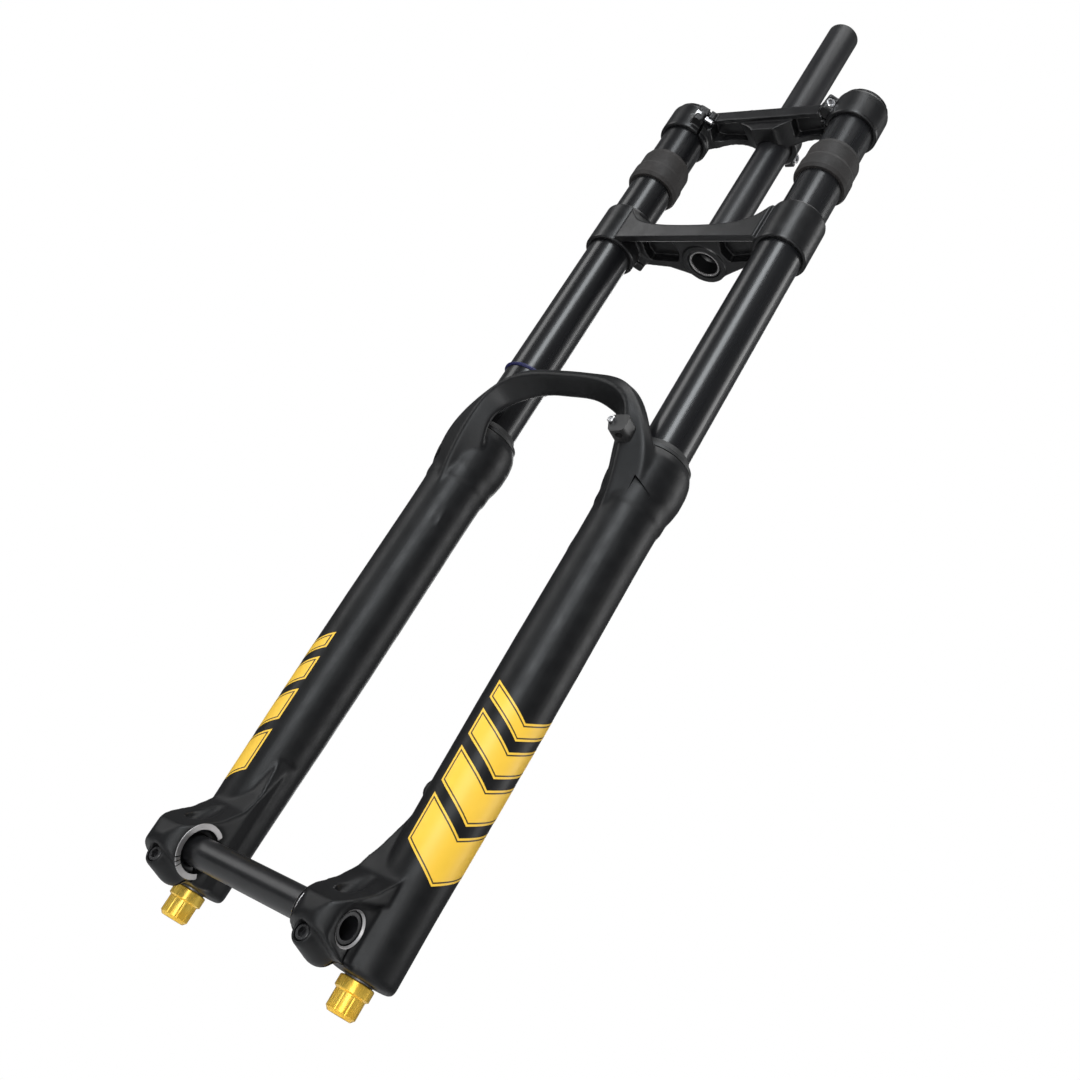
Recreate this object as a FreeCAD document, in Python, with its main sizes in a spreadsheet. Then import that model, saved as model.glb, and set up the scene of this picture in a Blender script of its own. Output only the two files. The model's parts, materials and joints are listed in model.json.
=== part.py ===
"""Dual-crown bicycle suspension fork as a parametric FreeCAD document.

Frame: millimetres, +Z up along the steerer, the wheel axle runs along X, the fork's front faces -Y and +X
is the rider's left.  The origin is on the steerer axis at the crown-race seat, on top of the lower crown.
Levels named *_lv are heights above the wheel axle, which lies axle_drop below the origin.
The +X leg holds the air spring and carries the brake; the -X leg holds the damper.
"""
import FreeCAD, Part
import Sketcher
import math
import os
import re

SIZES = [
    # steerer, crowns and the placing of the legs
    ("axle_drop", 625.0, "crown-race seat above the wheel axle"),
    ("leg_half", 81.75, "steerer axis to stanchion axis, sideways"),
    ("crown_offset", 20.0, "stanchions in front of the steerer axis"),
    ("axle_offset", 36.0, "axle in front of the stanchions"),
    ("steerer_rad", 14.3, "1-1/8 inch steerer"),
    ("steerer_bore", 11.9, "steerer inside"),
    ("steerer_top_lv", 904.0, "cut end of the steerer"),
    ("steerer_low_lv", 599.5, "steerer end in the lower crown"),
    ("stem_mark_lv", 762.4, "scribed line over the upper crown, the stem's lower limit"),
    ("race_rad", 15.0, "crown-race seat"),
    ("race_high", 6.0, "height of the crown-race seat"),
    ("stanchion_rad", 19.0, "38 mm stanchion"),
    ("stanchion_bore", 16.6, "stanchion inside"),
    ("stanchion_top_lv", 761.0, "upper end of a stanchion"),
    ("stanchion_low_lv", 217.0, "lower end of a stanchion at full extension"),
    ("clamp_rad", 22.7, "outside of a crown's leg clamp"),
    ("cap_rad", 20.6, "flange of a top cap"),
    ("cap_lv", 740.0, "lower end of a top cap"),
    ("lower_clamp_lv", 587.0, "underside of the lower crown"),
    ("lower_clamp_high", 41.0, "height of the lower crown's clamps"),
    ("upper_clamp_lv", 734.0, "underside of the upper crown"),
    ("upper_clamp_high", 27.0, "height of the upper crown's clamps"),
    ("bumper_rad", 23.0, "frame bumper"),
    ("bumper_lv", 668.0, "underside of a frame bumper"),
    ("bumper_high", 34.0, "height of a frame bumper"),
    # lower legs
    ("foot_lv", -19.0, "underside of the legs"),
    ("foot_rad", 22.0, "leg at the foot"),
    ("waist_rad", 22.6, "leg at the waist"),
    ("leg_rad", 24.4, "leg in its upper half"),
    ("collar_rad", 29.0, "seal collar"),
    ("collar_low_lv", 335.0, "underside of the seal collar"),
    ("collar_top_lv", 374.0, "top of the seal collar"),
    ("bore_rad", 20.7, "leg bore, round the bushings"),
    ("bore_floor_lv", 13.0, "floor of the leg bore"),
    ("seal_rad", 22.6, "seal counterbore"),
    ("seal_floor_lv", 346.0, "floor of the seal counterbore"),
    ("axle_rad", 10.0, "20 mm axle"),
    ("axle_hole", 10.05, "axle bore in the dropouts"),
    ("axle_bore", 7.2, "inside of the axle"),
    ("hub_half", 55.0, "half of the 110 mm hub width"),
    ("lug_in", 54.3, "inner side of a dropout"),
    ("lug_out", 87.5, "floor of the pocket in a dropout's outer side"),
    ("lug_nose", 23.2, "dropout nose in front of the axle"),
    ("hub_ring_rad", 19.0, "machined hub face"),
    ("hub_seat_rad", 14.2, "hub end-cap recess"),
    ("hub_seat_deep", 4.0, "depth of the end-cap recess"),
    ("foot_hole", 5.2, "hole in the leg's foot for the shaft"),
    ("pinch_lv", -14.5, "axle pinch bolt below the axle"),
    ("post_space", 74.2, "brake post-mount hole spacing"),
    ("post_lv", 62.0, "middle of the brake mount above the axle"),
    ("post_side", 61.0, "brake mount holes from the centre plane"),
    ("post_face", 14.0, "brake mount face behind the steerer axis"),
    # inside
    ("rod_rad", 5.0, "damper rod and air shaft"),
    ("run", 0.05, "radial running clearance"),
    ("cartridge_rad", 14.0, "damper cartridge tube"),
    ("cartridge_bore", 12.6, "damper cartridge inside"),
    ("damper_piston_lv", 244.0, "damper piston at full extension"),
    ("air_piston_lv", 262.0, "air piston at full extension"),
    ("ramp_piston_lv", 610.0, "ramp-up piston in the air chamber"),
    ("knob_rad", 11.4, "gold knob, upper ring"),
    ("knob_grip", 9.8, "gold knob, grip"),
]

doc = FreeCAD.newDocument("suspension_fork")
sheet = doc.addObject("Spreadsheet::Sheet", "sizes")
for row, (alias, value, note) in enumerate(SIZES, start=1):
    sheet.set(f"A{row}", note)
    sheet.set(f"B{row}", str(value))
    sheet.setAlias(f"B{row}", alias)
doc.recompute()
size = {alias: float(value) for alias, value, note in SIZES}
nodes = {}


# ---------------------------------------------------------------- helpers

def bind(expression):
    """The expression with each size's name pointing at its cell."""
    return re.sub(r"[a-z][a-z_]*", lambda found: "sizes." + found.group(), str(expression))


def number(expression):
    """The value of a sum of sizes and numbers, such as 'bore_rad - 2 * run'."""
    total = 0.0
    for sign, term in re.findall(r"([+-]?)\s*([^+-]+)", str(expression).replace(" ", "")):
        product = 1.0
        for factor in term.split("*"):
            product *= size[factor] if factor in size else float(factor)
        total += -product if sign == "-" else product
    return total


def place(thing, x="0", y="0", z="0", turn=None):
    """Put a sub-part at x, y, z, turned by (axis, degrees)."""
    if turn:
        thing.Placement.Rotation = FreeCAD.Rotation(FreeCAD.Vector(*turn[0]), turn[1])
    for name, expression in (("x", x), ("y", y), ("z", z)):
        thing.setExpression(f"Placement.Base.{name}", bind(expression))
    return thing


def plane(body, role):
    """One of the body's own origin planes or axes."""
    return next(item for item in body.Origin.OriginFeatures if item.Role == role)


def outline(sketch, points):
    """A closed outline whose every corner is held by the sizes."""
    count = len(points)
    spots = [FreeCAD.Vector(number(a), number(b), 0) for a, b in points]
    for index in range(count):
        sketch.addGeometry(Part.LineSegment(spots[index], spots[(index + 1) % count]), False)
    for index in range(count):
        sketch.addConstraint(Sketcher.Constraint("Coincident", index, 2, (index + 1) % count, 1))
    for index, (a, b) in enumerate(points):
        for kind, axis, expression in (("DistanceX", -2, a), ("DistanceY", -1, b)):
            if str(expression) == "0":
                sketch.addConstraint(Sketcher.Constraint("PointOnObject", index, 1, axis))
            else:
                held = sketch.addConstraint(
                    Sketcher.Constraint(kind, -1, 1, index, 1, number(expression)))
                sketch.setExpression(f"Constraints[{held}]", bind(expression))


def new_sketch(body, name, role):
    sketch = body.newObject("Sketcher::SketchObject", name)
    sketch.AttachmentSupport = [(plane(body, role), "")]
    sketch.MapMode = "FlatFace"
    return sketch


def turned(label, points):
    """A piece turned about its own Z axis from a closed (radius, height) outline."""
    body = doc.addObject("PartDesign::Body", label)
    sketch = new_sketch(body, label + "_outline", "XZ_Plane")
    outline(sketch, points)
    turn = body.newObject("PartDesign::Revolution", label + "_turn")
    turn.Profile = sketch
    turn.ReferenceAxis = (sketch, ["V_Axis"])
    turn.Angle = 360
    body.Tip = turn
    return body


def ring(label, outer, inner, high, edge="0.4"):
    """A plain ring or tube with broken edges, standing on z = 0."""
    return turned(label, [
        (inner, "0"), (f"{outer} - {edge}", "0"), (outer, edge),
        (outer, f"{high} - {edge}"), (f"{outer} - {edge}", high), (inner, high)])


def hex_pocket(body, label, across, deep, level):
    """A hexagon socket sunk by deep into the flat top at level."""
    sketch = new_sketch(body, label + "_hex", "XY_Plane")
    sketch.AttachmentOffset = FreeCAD.Placement(FreeCAD.Vector(0, 0, level), FreeCAD.Rotation())
    reach = across / math.sqrt(3)
    spots = [FreeCAD.Vector(reach * math.cos(math.radians(60 * k)),
                            reach * math.sin(math.radians(60 * k)), 0) for k in range(6)]
    for k in range(6):
        sketch.addGeometry(Part.LineSegment(spots[k], spots[(k + 1) % 6]), False)
    for k in range(6):
        sketch.addConstraint(Sketcher.Constraint("Coincident", k, 2, (k + 1) % 6, 1))
    pocket = body.newObject("PartDesign::Pocket", label + "_socket")
    pocket.Profile = sketch
    pocket.Length = deep
    body.Tip = pocket
    return body


def flutes(body, label, count, rad, circle, deep):
    """Grooves round the grip, cut upwards from z = 0 and repeated about Z."""
    sketch = new_sketch(body, label + "_flute", "XY_Plane")
    sketch.addGeometry(Part.Circle(FreeCAD.Vector(circle, 0, 0), FreeCAD.Vector(0, 0, 1), rad), False)
    cut = body.newObject("PartDesign::Pocket", label + "_groove")
    cut.Profile = sketch
    cut.Length = deep
    cut.Reversed = True
    pattern = body.newObject("PartDesign::PolarPattern", label + "_grooves")
    pattern.Originals = [cut]
    pattern.Axis = (plane(body, "Z_Axis"), [""])
    pattern.Angle = 360
    pattern.Occurrences = count
    body.Tip = pattern
    return body


def screw(label, head_rad, head_high, shank_rad, shank_long):
    """A socket-head screw: the head's top is at z = 0 and the shank points down."""
    body = turned(label, [
        ("0", "0"), (f"{head_rad - 0.5}", "0"), (f"{head_rad}", "-0.5"), (f"{head_rad}", f"-{head_high}"),
        (f"{shank_rad}", f"-{head_high}"), (f"{shank_rad}", f"-{head_high + shank_long - 0.6}"),
        (f"{shank_rad - 0.6}", f"-{head_high + shank_long}"), ("0", f"-{head_high + shank_long}")])
    return hex_pocket(body, label, head_rad * 1.12, head_high * 0.6, 0.0)


def node(label, *things):
    """Name the finished sub-part, or the group of like solids, that label's file will hold."""
    if len(things) == 1:
        result = things[0]
    else:
        result = doc.addObject("Part::Compound", label + "_set")
        result.Links = list(things)
    result.Label = label
    nodes[label] = result
    return result


def joined(name, kind, things):
    result = doc.addObject("Part::Multi" + kind, name)
    result.Shapes = list(things)
    return result


def cut(name, base, tool):
    result = doc.addObject("Part::Cut", name)
    result.Base = base
    result.Tool = tool
    return result


def block(name, x, y, z, long, wide, high):
    """A box from its low corner and its three sizes, all given as expressions."""
    box = doc.addObject("Part::Box", name)
    for side, expression in (("Length", long), ("Width", wide), ("Height", high)):
        box.setExpression(side, bind(expression))
    return place(box, x, y, z)


def rod(name, rad, long, x, y, z, turn=None):
    """A cylinder along its own Z from the point x, y, z."""
    bar = doc.addObject("Part::Cylinder", name)
    bar.setExpression("Radius", bind(rad))
    bar.setExpression("Height", bind(long))
    return place(bar, x, y, z, turn)


ALONG_X = ((0, 1, 0), 90)
ALONG_BACK = ((1, 0, 0), -90)     # a local +Z that points to +Y
ALONG_FRONT = ((1, 0, 0), 90)     # a local +Z that points to -Y
LEFT, RIGHT = 1, -1
LEG_Y = "0 - crown_offset"
AXLE_Y = "0 - crown_offset - axle_offset"


def leg_x(side):
    return "leg_half" if side == LEFT else "0 - leg_half"


def side_name(side):
    return "left" if side == LEFT else "right"


def level(expression):
    return f"{expression} - axle_drop"


def vec(x, y, z):
    return FreeCAD.Vector(x, y, z)


def rounded_wire(points, radius):
    """A closed wire through the corners with every corner rounded by an arc."""
    edges = []
    count = len(points)
    starts, ends, mids = [], [], []
    for index in range(count):
        corner = points[index]
        back = (points[index - 1] - corner).normalize()
        ahead = (points[(index + 1) % count] - corner).normalize()
        half = back.getAngle(ahead) / 2
        reach = radius / math.tan(half)
        bisector = (back + ahead).normalize()
        starts.append(corner + back * reach)
        ends.append(corner + ahead * reach)
        mids.append(corner + bisector * (radius / math.sin(half) - radius))
    for index in range(count):
        edges.append(Part.Arc(starts[index], mids[index], ends[index]).toShape())
        edges.append(Part.LineSegment(ends[index], starts[(index + 1) % count]).toShape())
    return Part.Wire(edges)


def slab(name, points, radius, push):
    """A plate: the rounded outline through the points, pushed along a vector."""
    feature = doc.addObject("Part::Feature", name)
    face = Part.Face(rounded_wire(points, radius)) if radius else Part.Face(Part.makePolygon(
        points + points[:1]))
    feature.Shape = face.extrude(push)
    return feature


# ---------------------------------------------------------------- steerer, stanchions and crowns

def steerer():
    long = "steerer_top_lv - axle_drop"
    low = "steerer_low_lv - axle_drop"
    mark = "stem_mark_lv - axle_drop"
    node("steerer_tube", turned("steerer", [
        ("steerer_bore + 0.9", low), ("race_rad - 0.9", low), ("race_rad - 0.2", f"{low} + 0.7"),
        ("race_rad - 0.2", "0"), ("race_rad", "0"),
        ("race_rad", "race_high"),
        ("steerer_rad", "race_high"), ("steerer_rad", mark), ("steerer_rad - 0.3", mark),
        ("steerer_rad - 0.3", f"{mark} + 1"), ("steerer_rad", f"{mark} + 1"),
        ("steerer_rad", f"{long} - 0.8"),
        ("steerer_rad - 0.6", long), ("steerer_bore", long), ("steerer_bore", "60"),
        ("steerer_bore - 1.4", "40"), ("steerer_bore - 1.4", f"{low} + 16"), ("steerer_bore", f"{low} + 14"),
        ("steerer_bore", f"{low} + 0.9")]))


def stanchion(side):
    name = {LEFT: "stanchion_air_side", RIGHT: "stanchion_damper_side"}[side]
    tube = ring(name, "stanchion_rad", "stanchion_bore", "stanchion_top_lv - stanchion_low_lv", "0.8")
    node(name, place(tube, leg_x(side), LEG_Y, level("stanchion_low_lv")))


def crown_clamps(name, low, high):
    """Both leg clamps of a crown, as solid bosses."""
    clamps = []
    for side in (LEFT, RIGHT):
        boss = turned(f"{name}_clamp_{side_name(side)}", [
            ("0", "0"), ("clamp_rad - 0.8", "0"), ("clamp_rad", "0.8"),
            ("clamp_rad", f"{high} - 1.2"), ("clamp_rad - 1.2", high), ("0", high)])
        clamps.append(place(boss, leg_x(side), LEG_Y, level(low)))
    return clamps


def crown_holes(name, low, high):
    holes = []
    for side in (LEFT, RIGHT):
        holes.append(rod(f"{name}_bore_{side_name(side)}", "stanchion_rad", f"{high} + 20",
                         leg_x(side), LEG_Y, level(f"{low} - 10")))
    return holes


def plate(name, plan, low, high, radius):
    """A horizontal plate from a plan outline between two levels above the origin."""
    corners = [vec(x, y, low) for x, y in plan]
    return slab(name, corners, radius, vec(0, 0, high - low))


LOWER_LOW = size["lower_clamp_lv"] - size["axle_drop"]
UPPER_LOW = size["upper_clamp_lv"] - size["axle_drop"]
LEG_CENTRE_Y = -size["crown_offset"]


def clamp_line(side, low_z, back):
    """A clamp's centre, the way out to its pinch ear, and the way its screws point from nut to head."""
    centre = vec(side * size["leg_half"], LEG_CENTRE_Y, low_z)
    way = vec(-side * 0.66, 0.75 if back else -0.75, 0).normalize()
    along = vec(side * 0.75, 0.66 if back else -0.66, 0).normalize()
    return centre, way, along


def crown_slit(name, side, low_z, high, back, shift):
    """The 1.8 mm slit that lets a clamp close."""
    centre, way, along = clamp_line(side, low_z - 2, back)
    corners = [centre + way * 12 + along * (shift - 0.9), centre + way * 36 + along * (shift - 0.9),
               centre + way * 36 + along * (shift + 0.9), centre + way * 12 + along * (shift + 0.9)]
    return slab(f"{name}_slit_{side_name(side)}", corners, 0, vec(0, 0, high + 4))


def pinch_ear(name, side, back, low, high, reach, near, far):
    """The ear that a clamp's screws pass through, from near to far along the screws."""
    centre, way, along = clamp_line(side, low, back)
    corners = [centre + way * 12 + along * near, centre + way * reach + along * (near + 2),
               centre + way * reach + along * (far - 1), centre + way * 12 + along * far]
    return slab(f"{name}_ear_{side_name(side)}", corners, 2.0, vec(0, 0, high - low))


def pinch_screw(name, side, back, z, out, start, shank):
    """One pinch screw, with the tool that clears its shank and its head."""
    centre, way, along = clamp_line(side, z, back)
    spot = FreeCAD.Placement(centre + way * out + along * start, FreeCAD.Rotation(vec(0, 0, 1), along))
    drill = doc.addObject("Part::Cylinder", name + "_drill")
    drill.Radius = 2.6
    drill.Height = shank + 8
    drill.Placement = FreeCAD.Placement(spot.Base - along * (shank + 7), spot.Rotation)
    seat = doc.addObject("Part::Cylinder", name + "_seat")
    seat.Radius = 4.7
    seat.Height = 30
    seat.Placement = FreeCAD.Placement(spot.Base - along * 5.0, spot.Rotation)
    bolt = screw(name, 4.25, 5.0, 2.5, shank)
    bolt.Placement = spot
    return bolt, [drill, seat]


def mirrored(plan):
    """A plan outline from its +X half, front to back, completed with the -X half."""
    return plan + [(-x, y) for x, y in reversed(plan)]


def above_line(name, points, start_y, push):
    """A tool that removes all above a curve through the (x, z) points, starting at start_y."""
    curve = Part.BSplineCurve()
    curve.interpolate([vec(x, start_y, z) for x, z in points])
    left, right = points[0], points[-1]
    lid = [vec(right[0], start_y, right[1]), vec(right[0], start_y, 30), vec(left[0], start_y, 30),
           vec(left[0], start_y, left[1])]
    wire = Part.Wire([curve.toShape()] + [Part.LineSegment(a, b).toShape() for a, b in zip(lid, lid[1:])])
    tool = doc.addObject("Part::Feature", name)
    tool.Shape = Part.Face(wire).extrude(push)
    return tool


def lower_crown():
    """Clamps and ears, a front wall with a sagging top edge, and a web round the steerer boss."""
    high = size["lower_clamp_high"]
    low = LOWER_LOW
    web_low = low + 13
    web_top = -4.0
    plan = mirrored([(64.0, -37.0), (76.0, -20.0), (62.0, 1.5), (36.0, 4.5), (23.0, 10.0), (9.0, 16.4)])
    web = plate("lower_crown_web", plan, web_low, web_top, 3.0)
    wall_plan = mirrored([(66.0, -41.0), (70.0, -34.5)])
    wall = plate("lower_crown_wall", wall_plan, low + 1, 0.0, 2.0)
    boss = rod("lower_crown_boss", "race_rad + 4.5", "26.5", "0", "0", "0 - 26.5")
    clamps = crown_clamps("lower_crown", "lower_clamp_lv", "lower_clamp_high")
    ears = [pinch_ear("lower_crown", side, True, web_low - 1, low + high - 1.5, 30.5, -11, 11)
            for side in (LEFT, RIGHT)]
    solid = joined("lower_crown_solid", "Fuse", [web, wall, boss] + clamps + ears)

    holes = crown_holes("lower_crown", "lower_clamp_lv", "lower_clamp_high")
    holes.append(rod("lower_crown_steerer_bore", "race_rad - 0.2", "80", "0", "0", "0 - 60"))
    edge = [(-70, -12), (-62, -24), (-55, -31), (-42, -36.5), (-20, -39.5), (0, -40), (20, -39.5),
            (42, -36.5), (55, -31), (62, -24), (70, -12)]
    sag = above_line("lower_crown_sag", edge, -60.0, vec(0, 40.5, 34.5))
    keeps = [rod(f"lower_crown_keep_{side_name(side)}", "clamp_rad", "90", leg_x(side), LEG_Y, "0 - 60")
             for side in (LEFT, RIGHT)]
    holes.append(cut("lower_crown_sag_cut", sag, joined("lower_crown_keeps", "Fuse", keeps)))
    for side in (LEFT, RIGHT):
        inner = [(24.0, -28.0), (52.0, -28.0), (54.0, -12.0), (52.0, -4.0), (25.0, -2.0), (20.5, -12.0)]
        corners = [vec(side * x, y, low - 5) for x, y in inner]
        holes.append(slab(f"lower_crown_pocket_{side_name(side)}", corners, 3.0, vec(0, 0, 26)))
    screws = []
    for side in (LEFT, RIGHT):
        holes.append(crown_slit("lower_crown", side, low, high, True, 0))
        for lift in (19.0, 34.0):
            name = f"lower_pinch_{side_name(side)}_{int(lift)}"
            bolt, clearance = pinch_screw(name, side, True, low + lift, 26.0, 9.5, 12.0)
            holes += clearance
            screws.append(bolt)
    tool = joined("lower_crown_cuts", "Fuse", holes)
    node("lower_crown", cut("lower_crown_part", solid, tool))
    node("lower_crown_bolts", *screws)


def upper_crown():
    """Clamps with front ears, a bar with a lip, a rear wall with arched edges, and the steerer clamp."""
    high = size["upper_clamp_high"]
    low = UPPER_LOW
    plan = mirrored([(62.0, -31.5), (74.0, -16.0), (54.0, -6.0), (26.0, -3.0)])
    bar = plate("upper_crown_bar", plan, low + 3, low + 26, 4.0)
    boss = rod("upper_crown_boss", "steerer_rad + 5", "14", "0", "0", level("upper_clamp_lv + 13.5"))
    peg = rod("upper_crown_peg", "3.4", "3", "0 - 20", "0 - 27", level("upper_clamp_lv + 25"))
    rear_ear = block("upper_crown_rear_ear", "0 - 10", "10", level("upper_clamp_lv + 15"), "20", "13", "12")
    clamps = crown_clamps("upper_crown", "upper_clamp_lv", "upper_clamp_high")
    ears = [pinch_ear("upper_crown", side, False, low + 5, low + 22, 31, -17, 3) for side in (LEFT, RIGHT)]
    solid = joined("upper_crown_solid", "Fuse", [bar, boss, peg, rear_ear] + clamps + ears)

    holes = crown_holes("upper_crown", "upper_clamp_lv", "upper_clamp_high")
    holes.append(rod("upper_crown_steerer_bore", "steerer_rad", "80", "0", "0", level("upper_clamp_lv - 20")))
    holes.append(block("upper_crown_rear_slit", "0 - 0.9", "12", level("upper_clamp_lv - 2"), "1.8", "30",
                       "upper_clamp_high + 4"))
    screw_level = level("upper_clamp_lv + 21")
    holes.append(rod("upper_crown_rear_drill", "2.6", "60", "0 - 30", "18.4", screw_level, ALONG_X))
    holes.append(rod("upper_crown_rear_seat", "4.8", "20", "6.5", "18.4", screw_level, ALONG_X))
    for side in (LEFT, RIGHT):
        inner = [(24.0, -27.5), (54.0, -27.5), (56.0, -15.0), (50.0, -11.5), (23.0, -9.0)]
        corners = [vec(side * x, y, low - 5) for x, y in inner]
        holes.append(slab(f"upper_crown_pocket_{side_name(side)}", corners, 3.0, vec(0, 0, 26)))
        outer_end, inner_end = vec(side * 62, 30, low + 1), vec(side * 9, 30, low + 1)
        arch = Part.Arc(outer_end, vec(side * 36, 30, low + 14.5), inner_end)
        base = Part.LineSegment(inner_end, outer_end)
        scoop = doc.addObject("Part::Feature", f"upper_crown_scoop_{side_name(side)}")
        scoop.Shape = Part.Face(Part.Wire([arch.toShape(), base.toShape()])).extrude(vec(0, -70, 0))
        clamp = rod(f"upper_crown_keep_{side_name(side)}", "clamp_rad", "60", leg_x(side), LEG_Y,
                    level("upper_clamp_lv - 10"))
        holes.append(cut(f"upper_crown_arch_{side_name(side)}", scoop, clamp))
        holes.append(crown_slit("upper_crown", side, low, high, False, -8.5))
        lip = [vec(side * x, -40, low - 3 + z) for x, z in ((0, 0), (57, 0), (57, 17), (0, 17))]
        lip_tool = slab(f"upper_crown_lip_{side_name(side)}", lip, 0, vec(0, 12.5, 0))
        holes.append(cut(f"upper_crown_lip_cut_{side_name(side)}", lip_tool, clamp))
    screws = []
    for side in (LEFT, RIGHT):
        name = f"upper_pinch_{side_name(side)}"
        bolt, clearance = pinch_screw(name, side, False, low + 13.5, 26.5, 2.5, 12.5)
        holes += clearance
        screws.append(bolt)
    tool = joined("upper_crown_cuts", "Fuse", holes)
    node("upper_crown", cut("upper_crown_part", solid, tool))
    node("upper_crown_bolts", *screws)
    steerer_bolt = screw("steerer_pinch", 4.4, 5.0, 2.5, 11.0)
    node("steerer_clamp_bolt", place(steerer_bolt, "11.6", "18.4", screw_level, ALONG_X))


def bumper(side):
    name = f"frame_bumper_{side_name(side)}"
    body = turned(name + "_ring", [
        ("stanchion_rad", "0"), ("bumper_rad - 1.6", "0"), ("bumper_rad", "3"), ("bumper_rad", "14"),
        ("bumper_rad - 1", "17"), ("bumper_rad - 1", "bumper_high - 4"),
        ("bumper_rad - 2.4", "bumper_high"), ("stanchion_rad", "bumper_high")])
    node(name, place(body, leg_x(side), LEG_Y, level("bumper_lv")))


# ---------------------------------------------------------------- lower legs

def leg_solid(side):
    """The outside of one leg, as a turned solid from the foot to the seal collar."""
    body = turned(f"leg_{side_name(side)}", [
        ("0", "foot_lv"), ("foot_rad - 4", "foot_lv"), ("foot_rad - 1", "foot_lv + 1.2"),
        ("foot_rad", "foot_lv + 4"),
        ("foot_rad", "20"), ("waist_rad", "60"), ("waist_rad + 0.8", "105"), ("leg_rad - 0.4", "160"),
        ("leg_rad - 0.1", "210"), ("leg_rad", "300"), ("leg_rad + 0.4", "collar_low_lv - 12"),
        ("leg_rad + 1.6", "collar_low_lv - 9"), ("leg_rad + 1.8", "collar_low_lv"),
        ("collar_rad - 1.2", "collar_low_lv + 6"), ("collar_rad", "collar_low_lv + 14"),
        ("collar_rad", "collar_top_lv - 14"), ("collar_rad - 1", "collar_top_lv - 7"),
        ("seal_rad + 2.6", "collar_top_lv"), ("0", "collar_top_lv")])
    return place(body, leg_x(side), LEG_Y, "0 - axle_drop")


def arch_solid():
    """The bridge in front of the legs, lofted through rounded four-cornered sections from leg to leg."""
    base = -size["axle_drop"]
    # x, level, lean of the outward normal, rear y, inner reach, outer reach, front y
    half = [
        (80.0, 285.0, 0, -25.0, 9.0, 9.0, -40.0),
        (77.5, 322.0, 0, -30.0, 16.0, 21.0, -46.5),
        (75.5, 348.0, 0, -34.0, 17.5, 28.0, -54.0),
        (73.5, 362.0, 3, -41.0, 17.0, 25.5, -57.5),
        (70.5, 377.0, 8, -46.5, 15.5, 18.5, -60.5),
        (62.0, 397.0, 36, -46.3, 15.0, 9.5, -64.5),
        (44.0, 408.0, 70, -46.5, 13.5, 12.5, -66.5),
        (22.0, 412.0, 87, -46.5, 9.5, 11.0, -67.0),
        (0.0, 412.5, 90, -46.5, 9.0, 11.0, -67.0)]
    rows = half + [(-x, lv, 180 - lean, rear, inner, outer, front)
                   for x, lv, lean, rear, inner, outer, front in reversed(half[:-1])]
    wires = []
    for x, lv, lean, rear, inner, outer, front in rows:
        way = vec(math.cos(math.radians(lean)), 0, math.sin(math.radians(lean)))
        centre = vec(x, 0, lv + base)
        deep = rear - front
        corners = [centre - way * inner + vec(0, rear, 0), centre + way * outer + vec(0, rear, 0),
                   centre + way * (outer * 0.68) + vec(0, front + deep * 0.32, 0),
                   centre - way * 1.5 + vec(0, front, 0)]
        wires.append(rounded_wire(corners, 2.6))
    arch = doc.addObject("Part::Feature", "arch")
    arch.Shape = Part.makeLoft(wires, True, False)
    return arch


def lug_profile():
    """Side view of a dropout as (y from the axle, level), nose forward."""
    nose = -size["lug_nose"]
    return [(nose, -3.0), (nose + 3.2, 7.0), (-10.0, 14.6), (2.0, 23.4), (13.0, 36.0), (19.0, 52.0),
            (22.0, 78.0), (32.0, 78.0), (32.0, -16.0), (15.0, -19.0), (0.0, -17.5), (-11.0, -13.8),
            (nose + 1.7, -9.5)]


def dropout(side):
    """One dropout: its side outline and its rounded plan, intersected, with the barrel of the pinch bolt."""
    axle_y = -size["crown_offset"] - size["axle_offset"]
    base = -size["axle_drop"]
    low_x = size["lug_in"]
    high_x = size["lug_out"] + 2.5
    name = side_name(side)
    corners = [vec(side * low_x, axle_y + y, base + lv) for y, lv in lug_profile()]
    shape = slab(f"dropout_side_{name}", corners, 2.0, vec(side * (high_x - low_x), 0, 0))
    nose_y = axle_y - size["lug_nose"]
    plan = [(low_x, nose_y), (high_x, nose_y), (high_x, LEG_CENTRE_Y), (62.0, LEG_CENTRE_Y),
            (low_x, axle_y + 17)]
    round_nose = [(low_x, nose_y), (high_x, nose_y), (high_x, axle_y + 60), (low_x, axle_y + 60)]
    corners = [vec(side * x, y, base - 60) for x, y in plan]
    nose_corners = [vec(side * x, y, base - 60) for x, y in round_nose]
    nose_body = Part.Face(rounded_wire(nose_corners, 17.0)).extrude(vec(0, 0, 200))
    feature = doc.addObject("Part::Feature", f"dropout_plan_{name}")
    feature.Shape = Part.Face(rounded_wire(corners, 6.0)).extrude(vec(0, 0, 200)).common(nose_body)
    lug = joined(f"dropout_lug_{name}", "Common", [shape, feature])
    barrel = turned(f"pinch_barrel_{name}", [
        ("0", "0"), ("6.6", "0"), ("7.6", "1.5"), ("11.4", "19"), ("11.8", "24"), ("10.6", "27.5"),
        ("0", "27.5")])
    place(barrel, f"{side * 71.5}", f"{AXLE_Y} - 17.2", level("pinch_lv"), ALONG_BACK)
    return [lug, barrel]


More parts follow.
